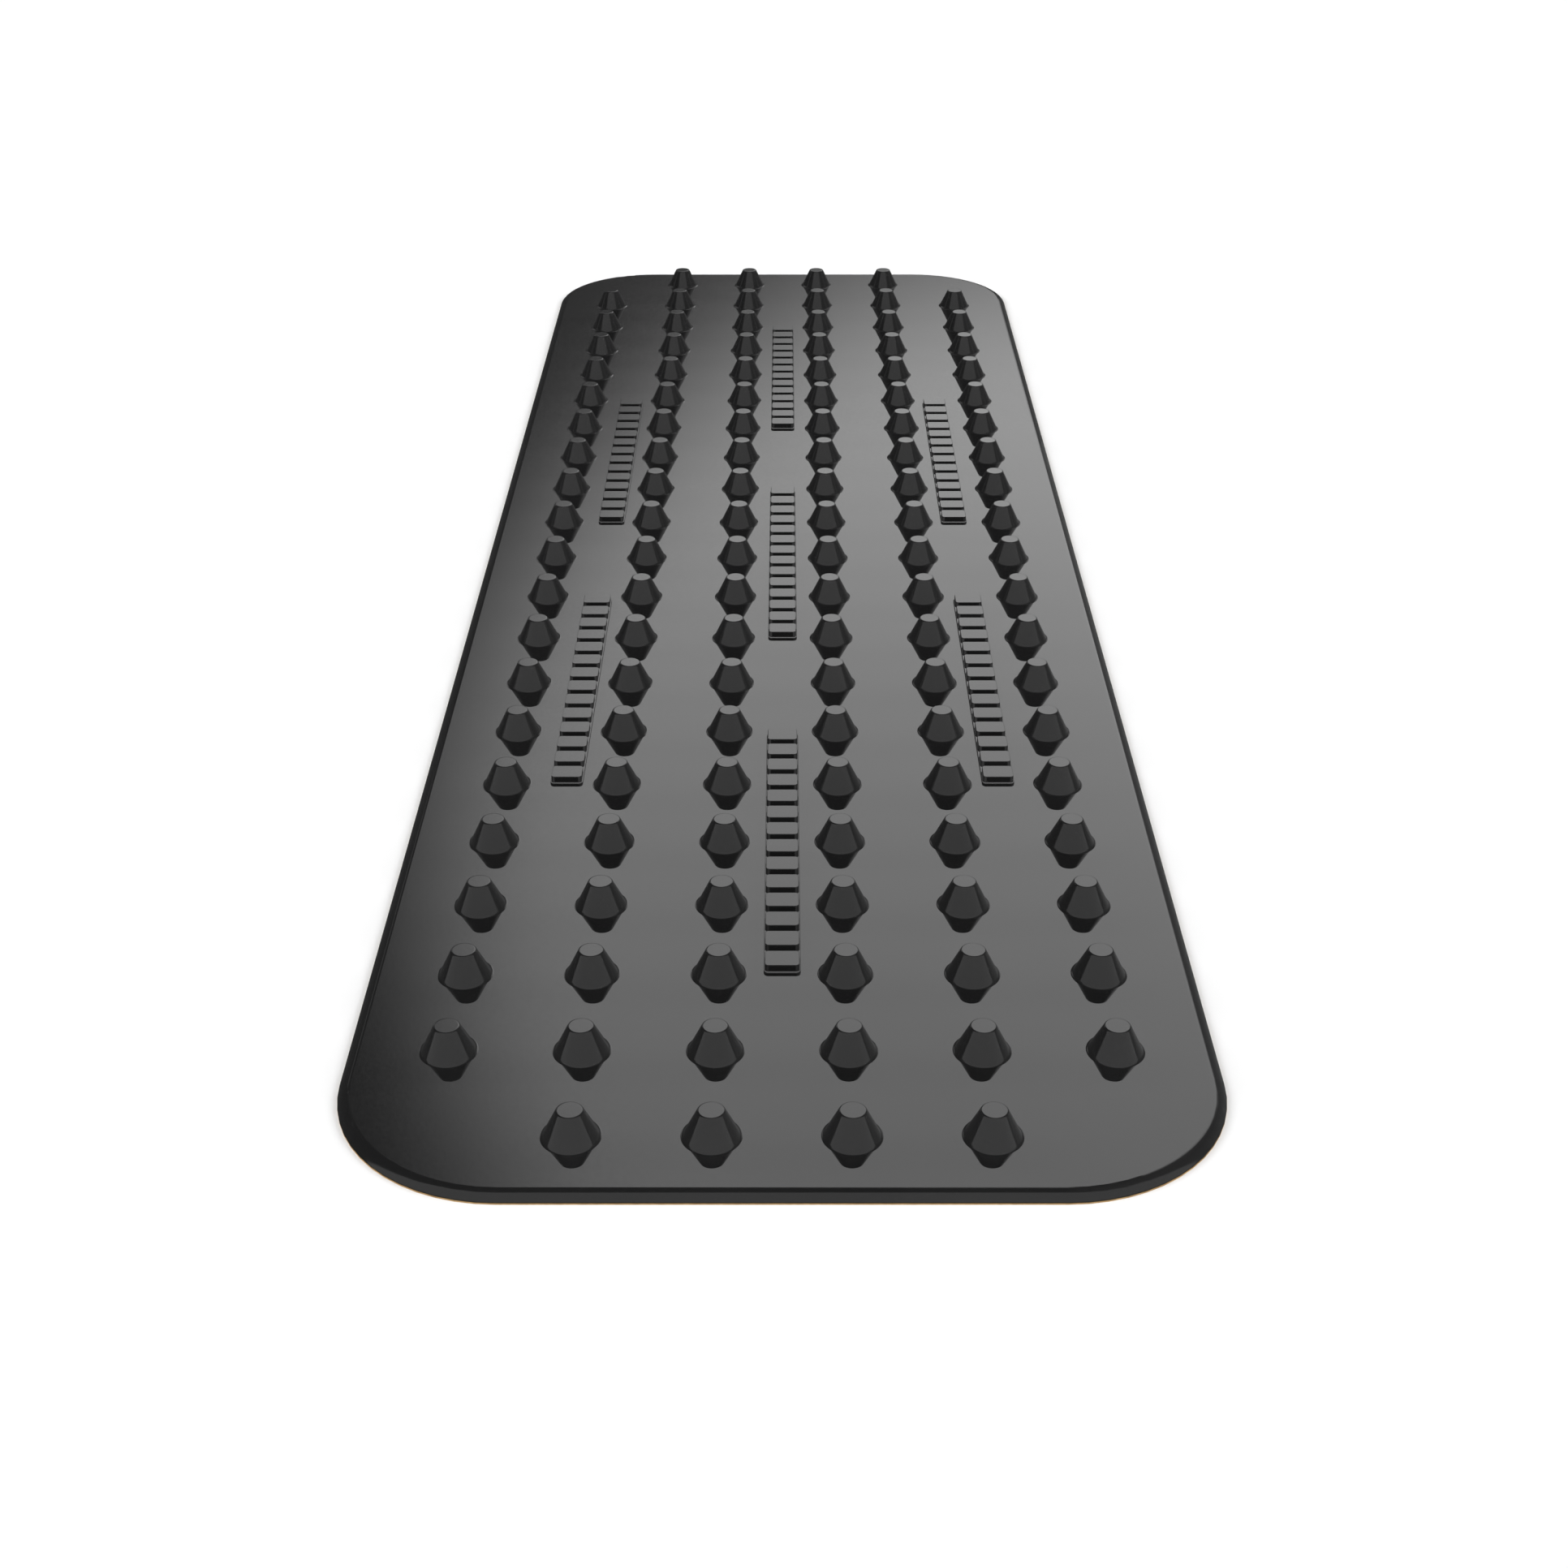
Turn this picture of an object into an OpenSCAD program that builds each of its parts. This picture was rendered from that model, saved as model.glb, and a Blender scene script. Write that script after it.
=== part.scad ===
// Snowboard stomp pad: a grip sheet with a field of undercut spikes and raised tread strips,
// backed by an adhesive film and a paper release liner.
// Millimetres. +X runs across the pad, +Y along it towards the back, +Z up.
// The origin lies under the middle of the pad, on the underside of the liner.

/* [Sheet] */
// Length of the pad
pad_length = 217.2; // [190:0.1:280]
// Width of the pad
pad_width = 66.7; // [50:0.1:110]
// Radius of the corners in plan
corner_radius = 13.3; // [5:0.1:20]
// Thickness of the sheet
sheet_thickness = 0.56; // [0.4:0.02:1]
// Radius of the round that brings the sheet's top down to its underside at the edge
edge_radius = 1.09; // [1:0.01:1.8]

/* [Spikes] */
// Distance between neighbouring spikes, along and across the pad
spike_pitch = 10; // [8:0.1:13]
// Distance from the front edge to the first row of spikes
front_margin = 3.9; // [3.2:0.1:20]
// Least distance from the last row of spikes to the back edge
back_margin = 12; // [4:0.1:40]
// Least distance from the outer spikes to the side edges
side_margin = 7.5; // [4:0.1:14]
// Number of spikes left out at each end of the first and the last row
end_row_gap = 1; // [0:1:2]
// Height of a spike above the sheet
spike_height = 4.52; // [3.6:0.02:8]
// Diameter of a spike where it stands on the sheet
root_diameter = 1.86; // [0.8:0.02:3]
// Diameter of a spike at its rim, its widest part
rim_diameter = 4.44; // [3.4:0.02:6]
// Height of the rim above the sheet
rim_height = 2.2; // [1:0.02:3]
// Distance that the rim stands out over the cone below it
rim_lip = 0.15; // [0.05:0.01:0.3]
// Width of the hollow flare that leads the upper cone out to the rim
flare_width = 0.2; // [0.12:0.01:0.4]
// Height of the flare
flare_height = 0.155; // [0.1:0.005:0.3]
// Diameter of a spike at its tip, before the edge is rounded
tip_diameter = 1.96; // [1:0.02:3]
// Radius of the round at the edge of the tip
tip_round = 0.17; // [0.05:0.01:0.3]

/* [Tread strips] */
// Length of a strip
strip_length = 40.2; // [20:0.1:54]
// Width of a strip
strip_width = 3; // [1.6:0.1:4]
// Height of a strip above the sheet
strip_height = 0.95; // [0.6:0.05:2]
// Height of the plinth that carries a strip's bars
plinth_height = 0.35; // [0.1:0.05:0.5]
// Width of the ledge round the bars, on top of the plinth
plinth_ledge = 0.1; // [0.05:0.01:0.3]
// Length of one bar, along the pad
bar_length = 2.1; // [1.2:0.1:6]
// Gap between two bars
bar_gap = 0.8; // [0.3:0.1:3]
// Radius of a strip's upright edges
strip_round = 0.4; // [0.35:0.01:0.5]
// Step along the pad from one strip to the next
strip_step = 30.5; // [28:0.1:36]
// Distance of the middle strip from the middle of the pad, along the pad
strip_shift = -0.8; // [-6:0.1:6]

/* [Backing] */
// Thickness of the adhesive film
adhesive_thickness = 0.1; // [0.05:0.01:1]
// Distance that the adhesive film stays in from the sheet's edge
adhesive_inset = 0; // [0:0.05:2]
// Thickness of the release liner
liner_thickness = 0.13; // [0.08:0.01:0.4]

/* [Hidden] */
$fn = 64;

// Levels, from the floor up
adhesive_z = liner_thickness;
sheet_z = adhesive_z + adhesive_thickness;
sheet_top = sheet_z + sheet_thickness;

// Sheet edge: how far the round's centre lies under the sheet, and how far the round reaches out
edge_drop = edge_radius - sheet_thickness;
edge_reach = sqrt(pow(edge_radius, 2) - pow(edge_drop, 2));

// The block between the corners' centres
core_width = pad_width - 2 * corner_radius;
core_length = pad_length - 2 * corner_radius;

// Spike field: as many rows and pairs of columns as the sheet has room for
field_length = pad_length - front_margin - back_margin;
row_count = floor(field_length / spike_pitch) + 1;
half_columns = floor((pad_width / 2 - side_margin) / spike_pitch + 0.5);
first_row_y = front_margin - pad_length / 2;

// Spike section: radii and levels, and the lean of the upper cone's side from the upright
root_r = root_diameter / 2;
rim_r = rim_diameter / 2;
tip_r = tip_diameter / 2;
flare_r = rim_r - flare_width;
flare_z = rim_height + flare_height;
lean = atan((flare_r - tip_r) / (spike_height - flare_z));

// Flare: radius of the arc that leaves the upper cone smoothly and ends at the rim
flare_bow = max(0.001, flare_width * cos(lean) - flare_height * sin(lean));
flare_radius = (pow(flare_width, 2) + pow(flare_height, 2)) / (2 * flare_bow);

// Tip: distance along the cone and along the flat tip that the round takes up
tip_reach = tip_round / tan((90 + lean) / 2);
// Overlap of the round with the faces that it runs into
seam = 0.0002;

// Tread strips: [node, lane across the pad, step along the pad]
outer_lane = (half_columns - 1) * spike_pitch;
STRIPS = [
    ["tread_strip_centre_front", 0, -2],
    ["tread_strip_centre_middle", 0, 0],
    ["tread_strip_centre_back", 0, 2],
    ["tread_strip_left_front", -1, -1],
    ["tread_strip_left_back", -1, 1],
    ["tread_strip_right_front", 1, -1],
    ["tread_strip_right_back", 1, 1]
];
bar_pitch = bar_length + bar_gap;
bar_count = floor((strip_length - 2 * plinth_ledge + bar_gap) / bar_pitch);

moulding_colour = "#4a4a4c";
spike_colour = "#2b2b2d";
adhesive_colour = "#35332f";
liner_colour = "#b08a55";

function two_digits(n) = str(n < 10 ? "0" : "", n);
function row_node(row) = str("spike_row_", two_digits(row));

// Rectangle with rounded corners, centred on the origin
module rounded_rect(width, length, radius) {
    square([width - 2 * radius, length], center = true);
    square([width, length - 2 * radius], center = true);
    for (x = [-1, 1], y = [-1, 1])
        translate([x * (width / 2 - radius), y * (length / 2 - radius)])
            circle(radius);
}

// Section of the sheet from a corner's centre out to the edge, where the top rounds down to the underside
module edge_section() {
    square([corner_radius - edge_reach, sheet_thickness]);
    translate([corner_radius - edge_reach, -edge_drop])
        intersection() {
            circle(edge_radius);
            translate([0, edge_drop])
                square([edge_radius, sheet_thickness]);
        }
}

// The section drawn out along a straight side, outward along +X and centred on the origin
module straight_edge(length) {
    translate([0, length / 2, 0])
        rotate([90, 0, 0])
            linear_extrude(length)
                edge_section();
}

module base_sheet() {
    color(moulding_colour)
        translate([0, 0, sheet_z]) {
            translate([-core_width / 2, -core_length / 2, 0])
                cube([core_width, core_length, sheet_thickness]);
            for (side = [0, 180])
                rotate(side) {
                    translate([core_width / 2, 0, 0])
                        straight_edge(core_length);
                    translate([0, core_length / 2, 0])
                        rotate(90)
                            straight_edge(core_width);
                    translate([core_width / 2, core_length / 2, 0])
                        rotate_extrude(angle = 90)
                            edge_section();
                    translate([-core_width / 2, core_length / 2, 0])
                        rotate(90)
                            rotate_extrude(angle = 90)
                                edge_section();
                }
        }
}

// Half section of a spike: a cone that widens from its root to the rim, and a second one from there to the tip
module spike_section() {
    difference() {
        union() {
            polygon([
                [0, 0],
                [root_r, 0],
                [rim_r - rim_lip, rim_height],
                [rim_r, rim_height],
                [flare_r, flare_z],
                [tip_r + tip_reach * sin(lean), spike_height - tip_reach * cos(lean)],
                [tip_r - tip_reach, spike_height],
                [0, spike_height]
            ]);
            translate([tip_r - tip_reach, spike_height - tip_round])
                circle(tip_round + seam);
        }
        translate([flare_r + flare_radius * cos(lean), flare_z + flare_radius * sin(lean)])
            circle(flare_radius);
    }
}

module spike() {
    rotate_extrude()
        spike_section();
}

// One row of spikes across the pad, counted from the front
module spike_row(row) {
    is_end_row = row == 1 || row == row_count;
    reach = half_columns - (is_end_row ? end_row_gap : 0);
    color(spike_colour)
        for (column = [-reach:reach - 1])
            translate([
                (column + 0.5) * spike_pitch,
                first_row_y + (row - 1) * spike_pitch,
                sheet_top
            ])
                spike();
}

// One tread strip: a low plinth with a row of cross bars
module tread_strip(lane, step) {
    bar_width = strip_width - 2 * plinth_ledge;
    first_bar = -(bar_count - 1) / 2 * bar_pitch;
    color(moulding_colour)
        translate([lane * outer_lane, strip_shift + step * strip_step, sheet_top]) {
            linear_extrude(plinth_height)
                rounded_rect(strip_width, strip_length, strip_round);
            for (bar = [0:bar_count - 1])
                translate([0, first_bar + bar * bar_pitch, 0])
                    linear_extrude(strip_height)
                        rounded_rect(bar_width, bar_length, strip_round - plinth_ledge);
        }
}

module adhesive_film() {
    color(adhesive_colour)
        translate([0, 0, adhesive_z])
            linear_extrude(adhesive_thickness)
                rounded_rect(
                    pad_width - 2 * adhesive_inset,
                    pad_length - 2 * adhesive_inset,
                    corner_radius - adhesive_inset
                );
}

module release_liner() {
    color(liner_colour)
        linear_extrude(liner_thickness)
            rounded_rect(pad_width, pad_length, corner_radius);
}

base_sheet();
for (row = [1:row_count])
    spike_row(row);
for (strip = STRIPS)
    tread_strip(strip[1], strip[2]);
adhesive_film();
release_liner();
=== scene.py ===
"""Snowboard stomp pad: materials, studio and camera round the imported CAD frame, in metres."""
import math

import bpy
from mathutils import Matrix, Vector

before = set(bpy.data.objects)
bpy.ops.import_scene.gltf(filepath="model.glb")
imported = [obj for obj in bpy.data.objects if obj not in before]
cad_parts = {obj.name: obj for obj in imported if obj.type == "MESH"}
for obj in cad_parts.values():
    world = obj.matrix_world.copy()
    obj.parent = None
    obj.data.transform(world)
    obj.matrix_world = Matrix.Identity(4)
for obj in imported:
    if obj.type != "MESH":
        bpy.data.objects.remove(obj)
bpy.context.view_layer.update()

MM = 0.001

# Camera, from the square grid of spike tips: lens and sensor in mm, angles in degrees
CAMERA_LENS = 50.243
CAMERA_SENSOR = 36
CAMERA_PLACE = (0.126 * MM, -226.85 * MM, 102.317 * MM)
CAMERA_PITCH = 29.982
CAMERA_YAW = -0.0075
CAMERA_NEAR = 10 * MM

# Round softbox behind the pad, mirrored by the sheet: angles in degrees, sizes per metre of distance
SOFTBOX_AZIMUTH = 8.9
SOFTBOX_ELEVATION = 33.2
SOFTBOX_DISTANCE = 12
SOFTBOX_RADIUS = 0.294
SOFTBOX_FEATHER = 0.06
SOFTBOX_RADIANCE = 1.9

# Two side lights that bring a level surface to about its own colour, and a low fill from the camera's side
SIDE_PLACE = (3.0, -0.4, 2.1)
SIDE_SIZE = (2.4, 1.6)
SIDE_RADIANCE = 6.0
FILL_PLACE = (0, -3.0, 0.3)
FILL_SIZE = (4.0, 0.5)
FILL_RADIANCE = 4.0

# Bounce from below, which opens up the undersides of the spikes
BOUNCE_PLACE = (0, 0, -4)
BOUNCE_SIZE = (2, 2)
BOUNCE_RADIANCE = 26

# Room: pale on the camera's side, dim behind, a little lighter on the right, dark straight below
ROOM_RADIANCE = 0.9
BACK_RADIANCE = 0.07
RIGHT_RADIANCE = 0.22

# Where the room changes, as spans of a direction's Y, Z, X and Z
ROOM_EDGE = (-0.03, 0.03)
LOW_EDGE = (-0.3, -0.1)
RIGHT_EDGE = (0.0, 0.5)
DEEP_EDGE = (-0.9, -0.7)

# Two dim flags on either side of the pad's front end, which narrow the pale facets of the spikes
FLAG_PLACE = -110 * MM
FLAG_INNER = (165 * MM, 172 * MM)
FLAG_OUTER = (400 * MM, 111 * MM)
FLAG_REACH = 3.0

# Two upright reflectors behind the pad on either side, for slanted views: spans along the pad and up
PANEL_PLACE = 200 * MM
PANEL_ALONG = (125 * MM, 440 * MM)
PANEL_UP = (60 * MM, 260 * MM)
PANEL_FADE = 60 * MM
PANEL_RADIANCE = 0.8

# Two low screens along the pad's sides, which keep those reflectors off its rounded edges
SCREEN_PLACE = 34.2 * MM
SCREEN_ALONG = (-102 * MM, 40 * MM)
SCREEN_UP = (0, 2.8 * MM)

# Floor: a flat disc with a rim that sweeps up
FLOOR_COLOUR = (0.94, 0.94, 0.94)
FLOOR_SHADE = 0.99
FLOOR_GRAIN = 50 * MM
FLOOR_ROUGHNESS = 0.9
FLOOR_RADIUS = 3.0
FLOOR_RISE = 1.0
FLOOR_SPOKES = 96
FLOOR_RINGS = 12

# Range that most of a noise lies in
NOISE_SPAN = (0.3, 0.7)

# Moulded rubber: a bump is a strength and a depth
RUBBER_DARK = (0.0086, 0.0086, 0.0087)
RUBBER_LIGHT = (0.0104, 0.0104, 0.0105)
RUBBER_ROUGHNESS = (0.10, 0.14)
RUBBER_GRAIN = 0.35 * MM
RUBBER_MOTTLE = 9 * MM
RUBBER_BUMP = (0.05, 0.02 * MM)
RUBBER_IOR = 1.5

# Broken edges of the tread strips: angles in degrees
STRIP_BEVEL = 0.045 * MM
BEVEL_SEGMENTS = 2
WELD_REACH = 0.001 * MM
FLAT_ANGLE = 2
SHARP_ANGLE = 40

# Adhesive film, with streaks along the pad
ADHESIVE_DARK = (0.012, 0.011, 0.008)
ADHESIVE_LIGHT = (0.020, 0.018, 0.013)
ADHESIVE_ROUGHNESS = (0.5, 0.65)
ADHESIVE_STREAK = 6 * MM
ADHESIVE_STRETCH = (1, 0.3, 1)
ADHESIVE_BUMP = (0.3, 0.05 * MM)
ADHESIVE_SPECULAR = 0.1

# Kraft paper, with fibres along the pad
PAPER_DARK = (0.26, 0.155, 0.058)
PAPER_LIGHT = (0.39, 0.25, 0.108)
PAPER_ROUGHNESS = (0.62, 0.8)
PAPER_FIBRE = 0.8 * MM
PAPER_STRETCH = (1, 0.25, 1)
PAPER_CLOUD = 14 * MM
PAPER_BUMP = (0.4, 0.05 * MM)


def material_tree(name):
    """New material with one Principled shader: gives the material, its nodes, its links and the shader."""
    material = bpy.data.materials.new(name)
    material.use_nodes = True
    nodes, links = material.node_tree.nodes, material.node_tree.links
    nodes.clear()
    output = nodes.new("ShaderNodeOutputMaterial")
    shader = nodes.new("ShaderNodeBsdfPrincipled")
    links.new(shader.outputs["BSDF"], output.inputs["Surface"])
    return material, nodes, links, shader


def noise(nodes, links, size, detail=3.0, stretch=(1, 1, 1)):
    """Noise whose blotches measure about size metres on the object."""
    coords = nodes.new("ShaderNodeTexCoord")
    mapping = nodes.new("ShaderNodeMapping")
    mapping.inputs["Scale"].default_value = stretch
    texture = nodes.new("ShaderNodeTexNoise")
    texture.inputs["Scale"].default_value = 1 / size
    texture.inputs["Detail"].default_value = detail
    links.new(coords.outputs["Object"], mapping.inputs["Vector"])
    links.new(mapping.outputs["Vector"], texture.inputs["Vector"])
    return texture.outputs["Fac"]


def spread(nodes, links, value, span, low, high, smooth=False):
    """Runs from low to high while a value runs over a span."""
    node = nodes.new("ShaderNodeMapRange")
    node.interpolation_type = "SMOOTHSTEP" if smooth else "LINEAR"
    node.inputs["From Min"].default_value = span[0]
    node.inputs["From Max"].default_value = span[1]
    node.inputs["To Min"].default_value = low
    node.inputs["To Max"].default_value = high
    links.new(value, node.inputs["Value"])
    return node.outputs["Result"]


def soft_step(nodes, links, value, edge, low, high):
    """Runs smoothly from low to high over an edge."""
    return spread(nodes, links, value, edge, low, high, smooth=True)


def multiply(nodes, links, first, second):
    """Product of two values."""
    node = nodes.new("ShaderNodeMath")
    node.operation = "MULTIPLY"
    links.new(first, node.inputs[0])
    links.new(second, node.inputs[1])
    return node.outputs["Value"]


def two_tone(nodes, links, value, dark, light):
    """Colour that runs from dark to light with a noise."""
    mix = nodes.new("ShaderNodeMix")
    mix.data_type = "RGBA"
    mix.inputs["A"].default_value = (*dark, 1)
    mix.inputs["B"].default_value = (*light, 1)
    links.new(spread(nodes, links, value, NOISE_SPAN, 0, 1), mix.inputs["Factor"])
    return mix.outputs["Result"]


def bump(nodes, links, value, strength, depth):
    """Bump of the given depth, in metres, from a noise."""
    node = nodes.new("ShaderNodeBump")
    node.inputs["Strength"].default_value = strength
    node.inputs["Distance"].default_value = depth
    links.new(value, node.inputs["Height"])
    return node.outputs["Normal"]


def rubber_material():
    """Satin moulded rubber: near black, with a faint mottle and a fine moulded grain."""
    material, nodes, links, shader = material_tree("grip_rubber")
    mottle = noise(nodes, links, RUBBER_MOTTLE)
    grain = noise(nodes, links, RUBBER_GRAIN, detail=2.0)
    links.new(two_tone(nodes, links, mottle, RUBBER_DARK, RUBBER_LIGHT), shader.inputs["Base Color"])
    links.new(spread(nodes, links, grain, NOISE_SPAN, *RUBBER_ROUGHNESS), shader.inputs["Roughness"])
    links.new(bump(nodes, links, grain, *RUBBER_BUMP), shader.inputs["Normal"])
    shader.inputs["IOR"].default_value = RUBBER_IOR
    return material


def adhesive_material():
    """Tacky dark adhesive, seen as a thin line under the sheet."""
    material, nodes, links, shader = material_tree("adhesive")
    streaks = noise(nodes, links, ADHESIVE_STREAK, stretch=ADHESIVE_STRETCH)
    links.new(two_tone(nodes, links, streaks, ADHESIVE_DARK, ADHESIVE_LIGHT), shader.inputs["Base Color"])
    links.new(spread(nodes, links, streaks, NOISE_SPAN, *ADHESIVE_ROUGHNESS), shader.inputs["Roughness"])
    links.new(bump(nodes, links, streaks, *ADHESIVE_BUMP), shader.inputs["Normal"])
    shader.inputs["Specular IOR Level"].default_value = ADHESIVE_SPECULAR
    return material


def paper_material():
    """Kraft release paper with fibres along the roll."""
    material, nodes, links, shader = material_tree("liner_paper")
    fibres = noise(nodes, links, PAPER_FIBRE, detail=6.0, stretch=PAPER_STRETCH)
    clouds = noise(nodes, links, PAPER_CLOUD)
    links.new(two_tone(nodes, links, fibres, PAPER_DARK, PAPER_LIGHT), shader.inputs["Base Color"])
    links.new(spread(nodes, links, clouds, NOISE_SPAN, *PAPER_ROUGHNESS), shader.inputs["Roughness"])
    links.new(bump(nodes, links, fibres, *PAPER_BUMP), shader.inputs["Normal"])
    return material


def dress(piece, material):
    """Gives a CAD piece its material."""
    piece.data.materials.clear()
    piece.data.materials.append(material)


def soften_edges(piece):
    """Breaks a piece's sharp edges, as a mould does: joins its facets into faces, then bevels them."""
    weld = piece.modifiers.new("weld", "WELD")
    weld.merge_threshold = WELD_REACH
    flat = piece.modifiers.new("flat", "DECIMATE")
    flat.decimate_type = "DISSOLVE"
    flat.angle_limit = math.radians(FLAT_ANGLE)
    edge = piece.modifiers.new("edge", "BEVEL")
    edge.width = STRIP_BEVEL
    edge.segments = BEVEL_SEGMENTS
    edge.limit_method = "ANGLE"
    edge.angle_limit = math.radians(SHARP_ANGLE)
    edge.use_clamp_overlap = False


def direction(azimuth, elevation):
    """Unit vector from the pad: azimuth 0 is along +Y and grows towards +X, in degrees."""
    a, e = math.radians(azimuth), math.radians(elevation)
    return Vector((math.sin(a) * math.cos(e), math.cos(a) * math.cos(e), math.sin(e)))


def add_camera():
    """Camera at the photograph's angle, level across."""
    data = bpy.data.cameras.new("camera")
    data.lens = CAMERA_LENS
    data.sensor_fit = "HORIZONTAL"
    data.sensor_width = CAMERA_SENSOR
    data.clip_start = CAMERA_NEAR
    camera = bpy.data.objects.new("camera", data)
    camera.location = CAMERA_PLACE
    camera.rotation_euler = (math.radians(90 - CAMERA_PITCH), 0, math.radians(CAMERA_YAW))
    bpy.context.scene.collection.objects.link(camera)
    bpy.context.scene.camera = camera


def add_lamp(name, shape, size, radiance, place):
    """Area lamp of even radiance that faces the pad, out of the camera's sight."""
    data = bpy.data.lights.new(name, "AREA")
    data.shape = shape
    data.size, data.size_y = size
    area = size[0] * size[1] * (math.pi / 4 if shape == "DISK" else 1)
    data.energy = math.pi * area * radiance
    lamp = bpy.data.objects.new(name, data)
    lamp.location = place
    lamp.rotation_euler = Vector(place).to_track_quat("Z", "Y").to_euler()
    lamp.visible_camera = False
    bpy.context.scene.collection.objects.link(lamp)
    return lamp


def feather(lamp, radius, width):
    """Fades a round lamp out towards its rim."""
    lamp.data.use_nodes = True
    nodes, links = lamp.data.node_tree.nodes, lamp.data.node_tree.links
    emission = next(n for n in nodes if n.type == "EMISSION")
    place = nodes.new("ShaderNodeNewGeometry")
    reach = nodes.new("ShaderNodeVectorMath")
    reach.operation = "DISTANCE"
    reach.inputs[1].default_value = lamp.location
    links.new(place.outputs["Position"], reach.inputs[0])
    rim = (radius - width, radius + width)
    links.new(soft_step(nodes, links, reach.outputs["Value"], rim, 1, 0), emission.inputs["Strength"])


def add_lamps():
    """Softbox behind the pad, two side lights, a low fill in front and a bounce from below."""
    radius = SOFTBOX_RADIUS * SOFTBOX_DISTANCE
    width = SOFTBOX_FEATHER * SOFTBOX_DISTANCE
    span = 2 * (radius + width)
    place = direction(SOFTBOX_AZIMUTH, SOFTBOX_ELEVATION) * SOFTBOX_DISTANCE
    softbox = add_lamp("softbox", "DISK", (span, span), SOFTBOX_RADIANCE, place)
    feather(softbox, radius, width)
    across, along, height = SIDE_PLACE
    left = add_lamp("left", "RECTANGLE", SIDE_SIZE, SIDE_RADIANCE, (-across, along, height))
    right = add_lamp("right", "RECTANGLE", SIDE_SIZE, SIDE_RADIANCE, (across, along, height))
    fill = add_lamp("fill", "RECTANGLE", FILL_SIZE, FILL_RADIANCE, FILL_PLACE)
    bounce = add_lamp("bounce", "RECTANGLE", BOUNCE_SIZE, BOUNCE_RADIANCE, BOUNCE_PLACE)
    for lamp in (softbox, bounce):
        lamp.data.use_shadow = False
    for lamp in (left, right, fill, bounce):
        lamp.visible_glossy = False


def add_world():
    """Room that the pad mirrors."""
    world = bpy.data.worlds.new("studio")
    bpy.context.scene.world = world
    world.use_nodes = True
    nodes, links = world.node_tree.nodes, world.node_tree.links
    nodes.clear()
    coords = nodes.new("ShaderNodeTexCoord")
    axes = nodes.new("ShaderNodeSeparateXYZ")
    links.new(coords.outputs["Generated"], axes.inputs["Vector"])
    behind = soft_step(nodes, links, axes.outputs["X"], RIGHT_EDGE, BACK_RADIANCE, RIGHT_RADIANCE)
    deep = soft_step(nodes, links, axes.outputs["Z"], DEEP_EDGE, 0, 1)
    front = soft_step(nodes, links, axes.outputs["Y"], ROOM_EDGE, 1, 0)
    above = soft_step(nodes, links, axes.outputs["Z"], LOW_EDGE, 0, 1)
    room = nodes.new("ShaderNodeMix")
    room.inputs["B"].default_value = ROOM_RADIANCE
    links.new(multiply(nodes, links, front, above), room.inputs["Factor"])
    links.new(multiply(nodes, links, behind, deep), room.inputs["A"])
    background = nodes.new("ShaderNodeBackground")
    output = nodes.new("ShaderNodeOutputWorld")
    links.new(room.outputs["Result"], background.inputs["Strength"])
    links.new(background.outputs["Background"], output.inputs["Surface"])


def add_card(name, points):
    """Glowing card that only reflections show: gives its nodes, its links and its strength."""
    mesh = bpy.data.meshes.new(name)
    mesh.from_pydata(points, [], [range(len(points))])
    card = bpy.data.objects.new(name, mesh)
    bpy.context.scene.collection.objects.link(card)
    material = bpy.data.materials.new(name)
    material.use_nodes = True
    nodes, links = material.node_tree.nodes, material.node_tree.links
    nodes.clear()
    emission = nodes.new("ShaderNodeEmission")
    output = nodes.new("ShaderNodeOutputMaterial")
    links.new(emission.outputs["Emission"], output.inputs["Surface"])
    mesh.materials.append(material)
    card.visible_camera = card.visible_diffuse = card.visible_shadow = False
    return nodes, links, emission.inputs["Strength"]


def add_flag(name, side, radiance):
    """Dim card across the front end, off to one side, whose lower edge falls away from the middle."""
    inner, lowest = FLAG_INNER[0], FLAG_OUTER[1]
    top = [(FLAG_REACH, FLAG_REACH), (inner, FLAG_REACH)]
    outline = [FLAG_INNER, FLAG_OUTER, (FLAG_REACH, lowest), *top]
    _, _, strength = add_card(name, [(side * x, FLAG_PLACE, z) for x, z in outline])
    strength.default_value = radiance


def upright(x, along, up):
    """Corners of an upright rectangle beside the pad."""
    (front, back), (low, high) = along, up
    return [(x, front, low), (x, back, low), (x, back, high), (x, front, high)]


def add_screen(name, side, radiance):
    """Low dim card beside the pad."""
    _, _, strength = add_card(name, upright(side * SCREEN_PLACE, SCREEN_ALONG, SCREEN_UP))
    strength.default_value = radiance


def fade_ends(nodes, links, value, span):
    """Runs from 0 up to 1 at the start of a panel's span, and down again at its end."""
    start, end = span
    rise = soft_step(nodes, links, value, (start, start + PANEL_FADE), 0, 1)
    fall = soft_step(nodes, links, value, (end - PANEL_FADE, end), 1, 0)
    return multiply(nodes, links, rise, fall)


def add_panel(name, side, radiance):
    """Reflector beside the pad, which fades into the room's radiance at its edges."""
    nodes, links, strength = add_card(name, upright(side * PANEL_PLACE, PANEL_ALONG, PANEL_UP))
    coords = nodes.new("ShaderNodeTexCoord")
    axes = nodes.new("ShaderNodeSeparateXYZ")
    links.new(coords.outputs["Object"], axes.inputs["Vector"])
    along = fade_ends(nodes, links, axes.outputs["Y"], PANEL_ALONG)
    up = fade_ends(nodes, links, axes.outputs["Z"], PANEL_UP)
    share = multiply(nodes, links, along, up)
    links.new(soft_step(nodes, links, share, (0, 1), radiance, PANEL_RADIANCE), strength)


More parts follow.
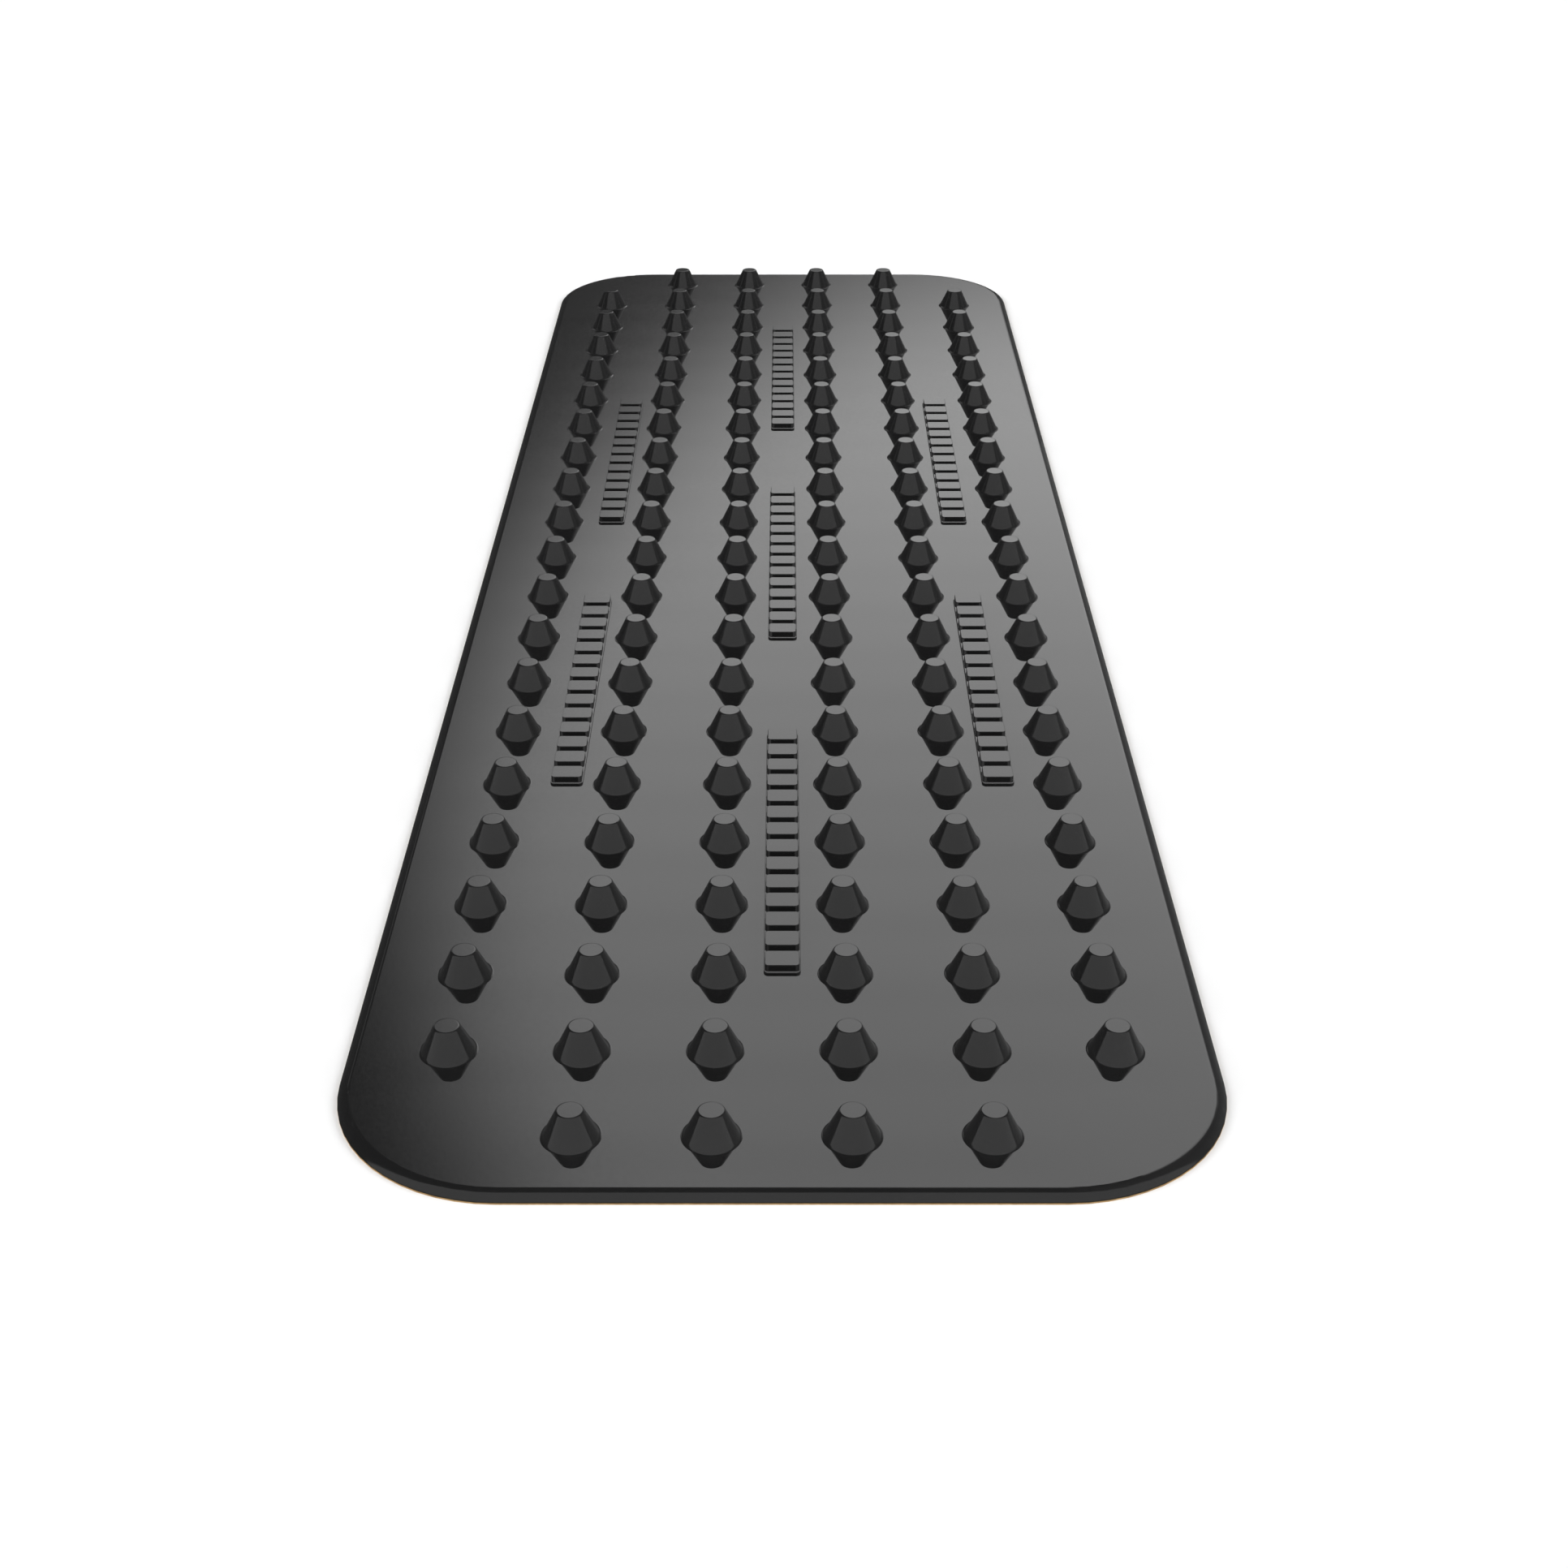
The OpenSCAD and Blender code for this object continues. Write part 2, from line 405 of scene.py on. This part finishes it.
def floor_point(ring, spoke):
    """Point of the floor: rings run flat to the floor's radius, then up the sweep."""
    turn = 2 * math.pi * spoke / FLOOR_SPOKES
    climb = 0.5 * math.pi * max(ring - 1, 0) / (FLOOR_RINGS - 1)
    reach = FLOOR_RADIUS * min(ring, 1) + FLOOR_RISE * math.sin(climb)
    return (reach * math.cos(turn), reach * math.sin(turn), FLOOR_RISE * (1 - math.cos(climb)))


def add_floor():
    """Pale floor with a swept-up rim. It keeps the pad's soft shadow, and the rubber doesn't mirror it."""
    points = [floor_point(ring, spoke) for ring in range(FLOOR_RINGS + 1) for spoke in range(FLOOR_SPOKES)]
    faces = []
    for ring in range(FLOOR_RINGS):
        for spoke in range(FLOOR_SPOKES):
            here = ring * FLOOR_SPOKES + spoke
            beside = ring * FLOOR_SPOKES + (spoke + 1) % FLOOR_SPOKES
            faces.append((here, beside, beside + FLOOR_SPOKES, here + FLOOR_SPOKES))
    mesh = bpy.data.meshes.new("floor")
    mesh.from_pydata(points, [], faces)
    mesh.shade_smooth()
    floor = bpy.data.objects.new("floor", mesh)
    bpy.context.scene.collection.objects.link(floor)
    material, nodes, links, shader = material_tree("floor")
    grain = noise(nodes, links, FLOOR_GRAIN)
    shade = [c * FLOOR_SHADE for c in FLOOR_COLOUR]
    links.new(two_tone(nodes, links, grain, shade, FLOOR_COLOUR), shader.inputs["Base Color"])
    shader.inputs["Roughness"].default_value = FLOOR_ROUGHNESS
    shader.inputs["Specular IOR Level"].default_value = 0
    mesh.materials.append(material)
    floor.visible_glossy = False


rubber = rubber_material()
own_materials = {"adhesive_film": adhesive_material(), "release_liner": paper_material()}
for name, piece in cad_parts.items():
    dress(piece, own_materials.get(name, rubber))
    piece.visible_glossy = False
    if name.startswith("tread_strip"):
        soften_edges(piece)

add_camera()
add_lamps()
add_world()
add_flag("left_flag", -1, BACK_RADIANCE)
add_flag("right_flag", 1, RIGHT_RADIANCE)
add_panel("left_panel", -1, BACK_RADIANCE)
add_panel("right_panel", 1, RIGHT_RADIANCE)
add_screen("left_screen", -1, BACK_RADIANCE)
add_screen("right_screen", 1, RIGHT_RADIANCE)
add_floor()
bpy.context.scene.view_settings.view_transform = "Standard"
